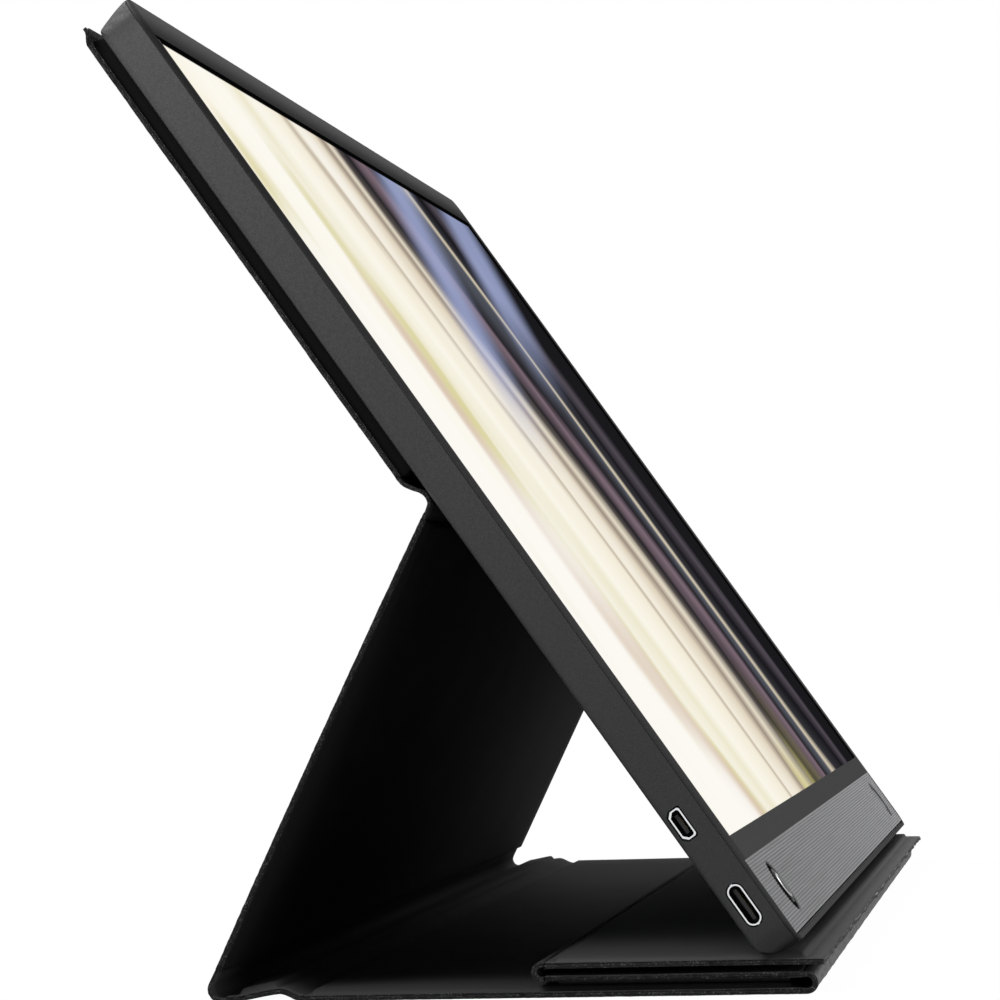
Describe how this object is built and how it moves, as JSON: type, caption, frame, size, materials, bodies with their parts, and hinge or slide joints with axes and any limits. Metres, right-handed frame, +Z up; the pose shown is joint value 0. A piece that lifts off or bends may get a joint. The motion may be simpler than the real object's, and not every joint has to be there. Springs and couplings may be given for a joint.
{
  "type": "portable monitor with cover",
  "caption": "Slim flat screen that stands on a folded leather-look cover: strut behind, double-folded ledge in front, sockets on the left edge, two round buttons.",
  "frame": {"origin": "on the table, under the middle of the whole object", "axes": "+X to the viewer's right, -Y towards the viewer, +Z up"},
  "size_m": [0.3598, 0.1422, 0.2001],
  "materials": {
    "shell": "fine sandy satin paint",
    "bezel": "fine sandy satin paint",
    "chin": "satin grey, ridged along its length",
    "screen": "dark anti-glare glass",
    "films": "white diffuser films",
    "guide": "clear acrylic",
    "lamps": "yellow phosphor lamps on a white strip",
    "tray": "folded sheet",
    "flex": "amber polyimide",
    "circuit": "green solder mask",
    "port_steel": "nickel-plated sheet",
    "port_black": "moulded black",
    "switch": "moulded",
    "light": "milky clear",
    "screw": "blackened",
    "plate": "plain sheet",
    "magnet": "nickel-plated",
    "dome": "polished, spun",
    "disc": "satin, spun",
    "skin": "fine-grained black artificial leather",
    "lining": "black brushed microfibre",
    "board": "plain grey-brown board"
  },
  "bodies": {
    "base": {"base_skin": "skin", "spine_board": "board", "base_board": "board", "base_lining": "lining", "front_fold": "skin", "foot_fold": "skin"},
    "strut": {"strut_skin": "skin", "strut_board": "board", "strut_lining": "lining", "back_fold": "skin"},
    "back_panel": {"back_skin": "skin", "back_board": "board", "back_magnets": "magnet", "back_lining": "lining"},
    "display": {"rear_shell": "shell", "front_bezel": "bezel", "chin_strip": "chin", "lcd_cell": "screen", "optical_films": "films", "light_guide": "guide", "reflector_sheet": "films", "led_bar": "lamps", "panel_tray": "tray", "driver_flex": "flex", "driver_board": "circuit", "display_cable": "flex", "main_board": "circuit", "board_shield": "port_steel", "usb_c_shell": "port_steel", "usb_c_tongue": "port_black", "hdmi_shell": "port_steel", "hdmi_tongue": "port_black", "button_board": "circuit", "menu_switch": "switch", "power_switch": "switch", "light_pipe": "light", "shell_screws": "screw", "magnet_plates": "plate"},
    "flap": {"flap_skin": "skin", "flap_board": "board", "flap_lining": "lining", "rear_fold": "skin"},
    "ledge": {"ledge_skin": "skin", "ledge_board": "board", "ledge_magnets": "magnet", "ledge_lining": "lining"},
    "menu_button": {"menu_button": "dome"},
    "power_button": {"power_button": "disc"}
  },
  "joints": [
    {"name": "strut_swing", "type": "hinge", "parent": "base", "child": "strut", "pos_m": [0, 0.04775, 0.0026], "axis": [-1, 0, 0], "range_deg": [0, 116], "deforming": ["foot_fold"]},
    {"name": "back_swing", "type": "hinge", "parent": "strut", "child": "back_panel", "pos_m": [0, 0.00303, 0.09584], "axis": [-1, 0, 0], "range_deg": [-60.05, 0], "deforming": ["back_fold"]},
    {"name": "display_lift", "type": "slide", "parent": "back_panel", "child": "display", "axis": [0, 0, 1], "range_m": [0, 0.2]},
    {"name": "flap_turn", "type": "hinge", "parent": "base", "child": "flap", "pos_m": [0, -0.06665, 0.00213], "axis": [1, 0, 0], "range_deg": [0, 180.05], "deforming": ["front_fold"]},
    {"name": "ledge_turn", "type": "hinge", "parent": "flap", "child": "ledge", "pos_m": [0, -0.01685, 0.00492], "axis": [1, 0, 0], "range_deg": [-180.05, 0], "deforming": ["rear_fold"]},
    {"name": "menu_press", "type": "slide", "parent": "display", "child": "menu_button", "axis": [0, 0.829, -0.5592], "range_m": [0, 0.0003], "stiffness_N_per_m": 5000},
    {"name": "power_press", "type": "slide", "parent": "display", "child": "power_button", "axis": [0, 0.829, -0.5592], "range_m": [0, 0.0003], "stiffness_N_per_m": 5000}
  ],
  "couplings": [
    {"joint": "back_swing", "follows": "strut_swing", "ratio": -0.51724},
    {"joint": "flap_turn", "follows": "display_lift", "rad_per_m": 15.708},
    {"joint": "ledge_turn", "follows": "display_lift", "rad_per_m": -15.708}
  ]
}
